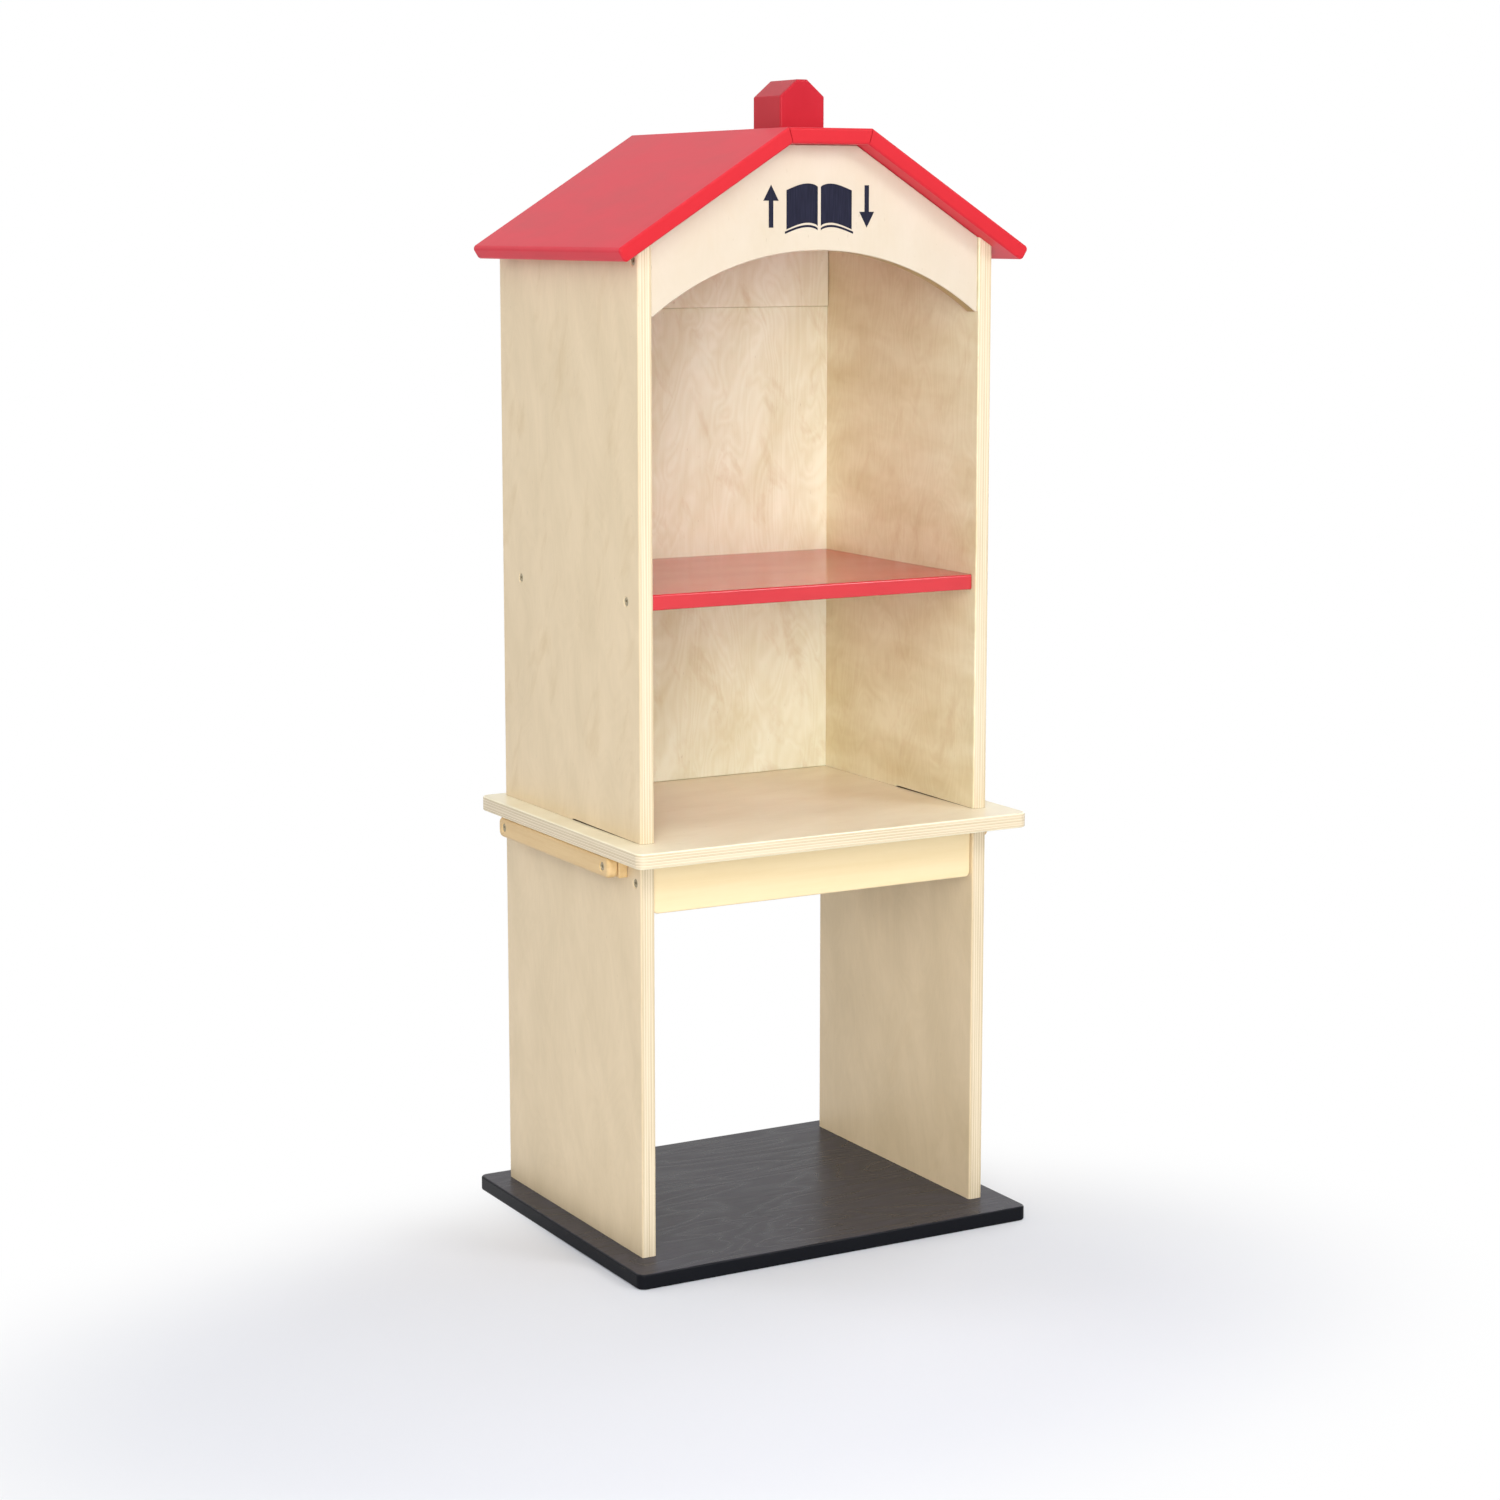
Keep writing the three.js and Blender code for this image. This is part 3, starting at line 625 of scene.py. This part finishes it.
def raw_beech(name, colours):
    """Raw beech dowels, turned and cut to length.

    The eye sees warm matt wood with short dark rays about 1.5 mm apart.
    """
    material, tree = new_material(name)
    spot = add(tree, "TexCoord", result="Object")
    rays = add(tree, "TexNoise", {"Vector": spot, "Scale": 0.7 / MM, "Detail": 2})
    tone = add(tree, "ValToRGB", {0: rays}, stops=[
        (0.35, tuple(v * 0.75 for v in colours.beech)), (0.6, colours.beech),
    ])
    shader = add(tree, "BsdfPrincipled", {"Base Color": tone, "Roughness": 0.7})
    add(tree, "OutputMaterial", {"Surface": shader})
    return material


def screen_ink(name, colours):
    """Screen-printed ink, a thin matt layer.

    The eye sees near black blue in which the wood's grain, drawn 2 mm wide and 25 mm long, just
    shows.
    """
    material, tree = new_material(name)
    spot = add(tree, "TexCoord", result="Object")
    grain_place = add(tree, "Mapping", {0: spot, "Scale": (0.5 / MM, 0.5 / MM, 0.04 / MM)})
    grain = add(tree, "TexNoise", {"Vector": grain_place, "Scale": 1, "Detail": 2})
    tone = add(tree, "ValToRGB", {0: grain}, stops=[
        (0.3, colours.ink), (0.75, tuple(v * 1.6 + 0.005 for v in colours.ink)),
    ])
    shader = add(tree, "BsdfPrincipled", {
        "Base Color": tone, "Roughness": 0.5, "Specular IOR Level": 0.15,
    })
    add(tree, "OutputMaterial", {"Surface": shader})
    return material


# Operators

class PieceMaker:
    """What the operators share: they build from the scene's sizes and colours."""

    bl_options = {"REGISTER", "UNDO"}

    def execute(self, context):
        self.build(context.scene.book_box_sizes, context.scene.book_box_colours)
        return {"FINISHED"}


def corners_of(node):
    """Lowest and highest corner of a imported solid, as arrays."""
    low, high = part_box(node)
    return np.array(low), np.array(high)


def rectangle(low, high, radii, rounding=(1, 1, 1, 1), steps=10):
    """Outline of a rectangle, with its corners' radii anticlockwise from the lowest corner."""
    corners = [(low[0], low[1]), (high[0], low[1]), (high[0], high[1]), (low[0], high[1])]
    return bent([(*spot, radius) for spot, radius in zip(corners, radii)], rounding, steps)


def gable_corners(low, high, thick, sizes):
    """Outline of a board that closes the gable: level foot, upright sides, edges under the roof.

    With the roof's pitch p, the roof's inner corner is its flat half less thickness * tan(p / 2),
    and the board's own corner lies a fit further in. Its shoulders lie on the slope below that.
    """
    inner = sizes.roof_flat / 2 - (thick + FIT) * math.tan(sizes.roof_pitch / 2)
    shoulder = high[2] - (high[0] - inner) * math.tan(sizes.roof_pitch)
    corners = np.array([
        [low[0], low[2]], [high[0], low[2]], [high[0], shoulder],
        [inner, high[2]], [-inner, high[2]], [low[0], shoulder],
    ])
    return corners, np.array([1, 1, 0.6, 0.6, 0.6, 1])


class BOOKBOX_OT_base(PieceMaker, bpy.types.Operator):
    """Draws the base board with rounded corners, stained black"""

    bl_idname = "bookbox.base"
    bl_label = "Base board"

    def build(self, sizes, colours):
        low, high = corners_of("base_board")
        outline = rectangle(low, high, [sizes.base_corner] * 4, steps=12)
        shape = board(outline, high[2] - low[2], sizes.base_arris, LYING, (0, 0, low[2]))
        material = black_stained_plywood("black stained plywood", high[2], colours)
        make_piece("base_board_rounded", [shape], material, ["base_board"])


class BOOKBOX_OT_panels(PieceMaker, bpy.types.Operator):
    """Finishes the plywood sides, back panel and rear gable"""

    bl_idname = "bookbox.panels"
    bl_label = "Plywood panels"

    def build(self, sizes, colours):
        usual = tones_of(colours, "birch")
        lit_inner = tones_of(colours, "birch_inner_lit")
        lit_back = tones_of(colours, "birch_back_lit")
        # Tones of the faces, lean of the clouds, share of the stains
        plans = {
            "lower_side_left": ([usual], 0.3, 0.1),
            "lower_side_right": ([usual], 0.3, 0.15),
            "upper_side_left": ([usual], 0.2, 0.45),
            # Its inner face gets the paler tones: painted light inside the case
            "upper_side_right": ([lit_inner, usual], 1.5, 0.4),
        }
        for name, (faces, lean, stained) in plans.items():
            low, high = corners_of(name)
            finish = birch_plywood(
                "birch plywood " + name.replace("_", " "), "ZYX", low[0], high[0] - low[0],
                faces, sizes, colours, lean=lean, stained=stained,
            )
            finish_nodes([name], finish)
        for name in ("back_panel", "rear_gable"):
            low, high = corners_of(name)
            thick = high[1] - low[1]
            low[0] += sizes.panel_gap
            high[0] -= sizes.panel_gap
            # The back boards' inner faces get the palest tones: painted light inside the case
            finish = birch_plywood(
                "birch plywood " + name.replace("_", " "), "ZXY", low[1], thick,
                [lit_back, usual], sizes, colours, lined=0.26, stained=0.5,
            )
            if name == "back_panel":
                outline = rectangle(low[[0, 2]], high[[0, 2]], [0] * 4)
            else:
                outline = gable_corners(low, high, thick, sizes)
            shape = board(outline, thick, sizes.panel_arris, FACING, (0, high[1], 0), 3)
            make_piece(name + "_eased", [shape], finish, [name])


class BOOKBOX_OT_counter(PieceMaker, bpy.types.Operator):
    """Draws the counter with rounded corners, gloss lacquered"""

    bl_idname = "bookbox.counter"
    bl_label = "Counter"

    def build(self, sizes, colours):
        low, high = corners_of("counter")
        outline = rectangle(low, high, [sizes.counter_corner] * 4, steps=12)
        shape = board(outline, high[2] - low[2], sizes.counter_arris, LYING, (0, 0, low[2]))
        side_low, side_high = corners_of("upper_side_right")
        # The painted shade in the slots under the sides stops this far short of the sides' edges
        inset = 0.5 * MM  # keeps the dust out of sight beside the side's edges
        shade_strips = [(side_low[i] + inset, side_high[i] - inset) for i in range(2)]
        material = birch_plywood(
            "gloss lacquered birch plywood", "XYZ", low[2], high[2] - low[2],
            [tones_of(colours, "counter")], sizes, colours,
            stained=0.12, lined=0.1, gloss=0.07, shade_strips=shade_strips,
        )
        make_piece("counter_rounded", [shape], material, ["counter"])


class BOOKBOX_OT_bars(PieceMaker, bpy.types.Operator):
    """Draws the aprons and finishes the side rails and their spacers, in solid birch"""

    bl_idname = "bookbox.bars"
    bl_label = "Aprons and rails"

    def build(self, sizes, colours):
        apron = solid_birch("lacquered birch aprons", "XZY", tones_of(colours, "apron"))
        for name in ("front_apron", "rear_apron"):
            low, high = corners_of(name)
            radius = sizes.apron_corner
            outline = rectangle(low[[0, 2]], high[[0, 2]], [radius, radius, 0, 0])
            shape = board(outline, high[1] - low[1], sizes.apron_arris, FACING, (0, high[1], 0))
            make_piece(name + "_rounded", [shape], apron, [name])
        rails = ["side_rail_left", "side_rail_right"]
        rails += [f"rail_spacer_{hand}_{end}" for hand in ("left", "right")
                  for end in ("front", "rear")]
        rail = solid_birch("lacquered birch rails", "YZX", tones_of(colours, "rail"))
        finish_nodes(rails, rail)


class BOOKBOX_OT_shelf(PieceMaker, bpy.types.Operator):
    """Draws the shelf with its front edge rounded, painted red"""

    bl_idname = "bookbox.shelf"
    bl_label = "Shelf"

    def build(self, sizes, colours):
        low, high = corners_of("shelf")
        radius = sizes.shelf_corner
        outline = rectangle(low, high, [radius, radius, 0, 0], [1, 0, 0, 0])
        shape = board(outline, high[2] - low[2], sizes.shelf_arris, LYING, (0, 0, low[2]))
        material = red_enamel("red enamel on the shelf", "XYZ", tones_of(colours, "red"), 0.16, 0.6)
        make_piece("shelf_rounded", [shape], material, ["shelf"])


class BOOKBOX_OT_fascia(PieceMaker, bpy.types.Operator):
    """Draws the arched front board with its eased edges"""

    bl_idname = "bookbox.fascia"
    bl_label = "Front board"

    def build(self, sizes, colours):
        low, high = corners_of("front_fascia")
        # The arch is part of a circle. With half its width w and its rise h, the radius is
        # (w * w + h * h) / 2h, and the arc reaches asin(w / radius) to each side of its crown
        half = high[0] - sizes.arch_nib
        radius = (half ** 2 + sizes.arch_rise ** 2) / (2 * sizes.arch_rise)
        reach = math.asin(half / radius)
        angle = np.linspace(math.pi / 2 + reach, math.pi / 2 - reach, 61)
        middle = low[2] + sizes.arch_rise - radius
        arch = np.stack([radius * np.cos(angle), middle + radius * np.sin(angle)], 1)
        thick = high[1] - low[1]
        rest, rest_share = gable_corners(low, high, thick, sizes)
        points = np.concatenate([arch, rest[1:], rest[:1]])
        share = np.concatenate([np.ones(len(arch)), rest_share[1:], [1]])
        shape = board((points, share), thick, sizes.fascia_arris, FACING, (0, high[1], 0))
        # The front board's darker birch is painted shade against the front light
        material = birch_plywood(
            "birch plywood front board", "ZXY", low[1], thick,
            [tones_of(colours, "birch_front_dimmed")], sizes, colours,
            # Darker plies along the arch: painted shade under it
            stained=0.1, plies=(colours.arch_shaded_long, colours.arch_shaded_cross),
        )
        make_piece("front_fascia_rounded", [shape], material, ["front_fascia"])


class BOOKBOX_OT_roof(PieceMaker, bpy.types.Operator):
    """Draws the three mitred roof boards, painted red"""

    bl_idname = "bookbox.roof"
    bl_label = "Roof"

    def build(self, sizes, colours):
        # Mitres halve the pitch, so a thickness further in they lie thickness * tan(pitch / 2)
        # nearer the middle. The eaves are square to the slope, so their lower corners lie a
        # thickness away along its normal, which is (-sin pitch, -cos pitch) on the right
        low, high = corners_of("roof_top")
        thick = high[2] - low[2]
        depth = high[1] - low[1]
        outside = corners_of("upper_side_right")[1][0]
        eave = outside + sizes.eave_overhang
        flat = sizes.roof_flat / 2
        pitch = sizes.roof_pitch
        inner = flat - thick * math.tan(pitch / 2)
        eave_top = high[2] - (eave - flat) * math.tan(pitch)
        down = np.array([thick * math.sin(pitch), thick * math.cos(pitch)])
        gap = FIT / 2
        right = np.array([
            [inner + gap, low[2], 0],
            [eave - down[0], eave_top - down[1], sizes.eave_radius],
            [eave, eave_top, sizes.eave_radius],
            [flat + gap, high[2], 0],
        ])
        left = right[::-1] * (-1, 1, 1)
        top = np.array([
            [-inner + gap, low[2], 0], [inner - gap, low[2], 0],
            [flat - gap, high[2], 0], [-flat + gap, high[2], 0],
        ])
        plans = {
            "roof_right": (right, [1, 1, 1, 0.15]),
            "roof_left": (left, [1, 1, 1, 0.15]),
            "roof_top": (top, [1, 0.15, 1, 0.15]),
        }
        # Painted light and shade on the roof: the faces get the brighter roof red, the front and
        # rear ends the deeper red
        ends = (low[1], high[1], colours.red)
        material = red_enamel(
            "red enamel on the roof", "YXZ", tones_of(colours, "roof"), 0.36, 0.12, ends,
        )
        for name, (corners, rounding) in plans.items():
            outline = bent(corners, rounding, 10)
            shape = board(outline, depth, sizes.roof_arris, FACING, (0, high[1], 0))
            make_piece(name + "_rounded", [shape], material, [name])


class BOOKBOX_OT_chimney(PieceMaker, bpy.types.Operator):
    """Draws the solid chimney with softened edges, painted red"""

    bl_idname = "bookbox.chimney"
    bl_label = "Chimney"

    def build(self, sizes, colours):
        low, high = corners_of("chimney")
        foot = low[2] - FIT
        radius = sizes.chimney_arris
        flat = sizes.chimney_flat / 2
        wall = foot + sizes.chimney_wall
        corners = [
            (low[0], low[2], 0), (high[0], low[2], 0), (high[0], wall, radius),
            (flat, high[2], radius), (-flat, high[2], radius), (low[0], wall, radius),
        ]
        outline = bent(corners, [0, 1, 1, 1, 1, 1], 8)
        shape = board(outline, high[1] - low[1], radius, FACING, (0, high[1], 0))
        tones = tones_of(colours, "chimney")
        material = red_enamel("red enamel on the chimney", "ZXY", tones, 0.2, 0.06)
        make_piece("chimney_rounded", [shape], material, ["chimney"])


class BOOKBOX_OT_screws(PieceMaker, bpy.types.Operator):
    """Draws the sunk screws that show, and finishes the hidden screws and the dowels"""

    bl_idname = "bookbox.screws"
    bl_label = "Screws and dowels"

    def build(self, sizes, colours):
        steel = zinc_steel("bright zinc steel", colours)
        hidden = ("base_screw", "counter_screw", "chimney_screw")
        finish_nodes([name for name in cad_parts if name.startswith(hidden)], steel)
        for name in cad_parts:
            if "_screw" not in name or name.startswith(hidden):
                continue
            low, high = corners_of(name)
            middle = (low + high) / 2
            right = middle[0] > 0
            surface = (high[0] + sizes.screw_sink) if right else (low[0] - sizes.screw_sink)
            span = high[0] - low[0] + sizes.screw_sink
            start = (surface, middle[1], middle[2])
            inward = (-1.0, 0, 0) if right else (1.0, 0, 0)
            shape = lobed_screw(start, inward, span, sizes)
            make_piece(name + "_lobed", [shape], steel, [name])
        beech = raw_beech("raw beech", colours)
        finish_nodes([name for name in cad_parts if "_dowel_" in name], beech)


class BOOKBOX_OT_sign(PieceMaker, bpy.types.Operator):
    """Prints a plain pictogram on the front board: an open book between two arrows"""

    bl_idname = "bookbox.sign"
    bl_label = "Sign"

    def build(self, sizes, colours):
        front = corners_of("front_fascia")[0][1]
        drawn_width = 148
        unit = sizes.sign_width / drawn_width
        middle = 1220 * MM
        sheet = 0.12 * MM

        def printed(points):
            """A thin flat print with the outline of the points, standing on the board's face."""
            points = np.asarray(points, float) * unit + (0, middle)
            return board((points, np.zeros(len(points))), sheet, 0, FACING, (0, front, 0))

        # Drawn in millimetres at the drawn width. A page: its upper edge is a low wave along its
        # width, its lower edge the same wave below
        along = np.linspace(0, 1, 21)
        wave = 5 * np.sin(np.pi * along ** 0.75) - 4 * along
        across = 2 + 41 * along
        lower = np.stack([across, wave - 22], 1)
        upper = np.stack([across, wave + 22], 1)
        page = np.concatenate([lower, upper[::-1]])
        spread = np.stack([2 + 43 * along, wave - 27], 1)
        cover = np.concatenate([spread, (spread + (0, 2.6))[::-1]])
        arrow = np.array([
            [-3, -24], [3, -24], [3, 6], [10, 6], [0, 24], [-10, 6], [-3, 6],
        ])
        left_arrow = arrow + (-63, 0)
        right_arrow = arrow * (-1, -1) + (63, 0)
        mirror = np.array([-1, 1])
        shapes = [
            printed(page), printed((page * mirror)[::-1]),
            printed(cover), printed((cover * mirror)[::-1]),
            printed(left_arrow), printed(right_arrow),
        ]
        ink = screen_ink("screen printed ink", colours)
        make_piece("front_sign_print", shapes, ink)


class BOOKBOX_OT_stage(PieceMaker, bpy.types.Operator):
    """Sets the pale floor, the soft lamps, the white surround and the camera"""

    bl_idname = "bookbox.stage"
    bl_label = "Stage"

    def build(self, sizes, colours):
        scene = bpy.context.scene
        scene.view_settings.view_transform = "Standard"
        self.set_floor(colours)
        self.set_surround(scene)
        for name, values in LAMPS.items():
            self.set_lamp(name, *values)
        self.set_camera(scene)

    def set_floor(self, colours):
        """A round floor that keeps the stand's shadow and runs into white far away."""
        radius = 14.0
        angle = np.linspace(0, 2 * np.pi, 97)[:-1]
        ring = np.stack([np.cos(angle), np.sin(angle), 0 * angle], 1) * radius
        mesh = bpy.data.meshes.new("floor")
        mesh.from_pydata(ring.tolist(), [], [list(range(len(ring)))])
        floor = bpy.data.objects.new("floor", mesh)
        bpy.context.scene.collection.objects.link(floor)
        material, tree = new_material("pale studio floor")
        spot = add(tree, "TexCoord", result="Object")
        oval = add(tree, "Mapping", {0: spot, "Location": (-0.3, -0.4, 0), "Scale": (1, 0.66, 1)},
                   vector_type="TEXTURE")
        far = add(tree, "VectorMath", {0: oval}, result="Value", operation="LENGTH")
        fade = add(tree, "MapRange", {0: far, 1: 0.42, 2: 1.08}, interpolation_type="SMOOTHERSTEP")
        seen = seen_or_mirrored(tree)
        white_share = add(tree, "Math", {0: seen, 1: fade}, operation="MULTIPLY")
        matt = add(tree, "BsdfDiffuse", {"Color": (*colours.floor, 1)})
        white = add(tree, "Emission", {"Color": (1, 1, 1, 1), "Strength": 1.0})
        shader = add(tree, "MixShader", {0: white_share, 1: matt, 2: white})
        add(tree, "OutputMaterial", {"Surface": shader})
        mesh.materials.append(material)

    def set_surround(self, scene):
        """A white surround that lights at a plain level."""
        world = bpy.data.worlds.new("white surround")
        world.use_nodes = True
        tree = world.node_tree
        tree.nodes.clear()
        strength = add(tree, "MapRange", {0: seen_or_mirrored(tree), 3: 0.2, 4: 1.0})
        light = add(tree, "Background", {"Color": (1, 1, 1, 1), "Strength": strength})
        add(tree, "OutputWorld", {"Surface": light})
        scene.world = world

    def set_lamp(self, name, place, target, size, watts):
        """A square soft lamp turned towards a point."""
        lamp = bpy.data.lights.new(name, "AREA")
        lamp.shape = "SQUARE"
        lamp.size = size
        lamp.energy = watts
        holder = bpy.data.objects.new(name, lamp)
        holder.location = place
        aim = np.array(target, float) - place
        aim /= np.linalg.norm(aim)
        tilt = math.acos(-aim[2])
        holder.rotation_euler = (tilt, 0, math.atan2(-aim[0], aim[1]))
        bpy.context.scene.collection.objects.link(holder)

    def set_camera(self, scene):
        """A camera at the photograph's viewing angle and distance."""
        lens = bpy.data.cameras.new("camera")
        lens.lens = LENS
        lens.sensor_width = SENSOR_WIDTH
        lens.shift_y = CAMERA_SHIFT
        lens.clip_end = 60
        camera = bpy.data.objects.new("camera", lens)
        camera.location = CAMERA_PLACE
        camera.rotation_euler = (math.radians(90 - CAMERA_TILT), 0, math.radians(-CAMERA_TURN))
        scene.collection.objects.link(camera)
        scene.camera = camera


class BOOKBOX_PT_pieces(bpy.types.Panel):
    """Lists the sizes, the colours and the pieces of the book exchange box"""

    bl_idname = "BOOKBOX_PT_pieces"
    bl_label = "Book exchange box"
    bl_space_type = "VIEW_3D"
    bl_region_type = "UI"
    bl_category = "Book box"

    def draw(self, context):
        layout = self.layout
        scene = context.scene
        for title, group in (("Sizes", scene.book_box_sizes), ("Colours", scene.book_box_colours)):
            box = layout.box()
            box.label(text=title)
            for name in group.bl_rna.properties.keys():
                if name not in {"rna_type", "name"}:
                    box.prop(group, name)
        for operator in OPERATORS:
            layout.operator(operator.bl_idname)


OPERATORS = (
    BOOKBOX_OT_stage,
    BOOKBOX_OT_base,
    BOOKBOX_OT_panels,
    BOOKBOX_OT_counter,
    BOOKBOX_OT_bars,
    BOOKBOX_OT_shelf,
    BOOKBOX_OT_fascia,
    BOOKBOX_OT_roof,
    BOOKBOX_OT_chimney,
    BOOKBOX_OT_screws,
    BOOKBOX_OT_sign,
)
CLASSES = (BookBoxSizes, BookBoxColours, *OPERATORS, BOOKBOX_PT_pieces)


def register():
    for cls in CLASSES:
        bpy.utils.register_class(cls)
    bpy.types.Scene.book_box_sizes = PointerProperty(type=BookBoxSizes)
    bpy.types.Scene.book_box_colours = PointerProperty(type=BookBoxColours)


def unregister():
    del bpy.types.Scene.book_box_colours
    del bpy.types.Scene.book_box_sizes
    for cls in reversed(CLASSES):
        bpy.utils.unregister_class(cls)


def main():
    """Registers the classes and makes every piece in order."""
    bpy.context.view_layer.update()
    register()
    for operator in OPERATORS:
        family, verb = operator.bl_idname.split(".")
        getattr(getattr(bpy.ops, family), verb)()


if __name__ == "__main__":
    main()
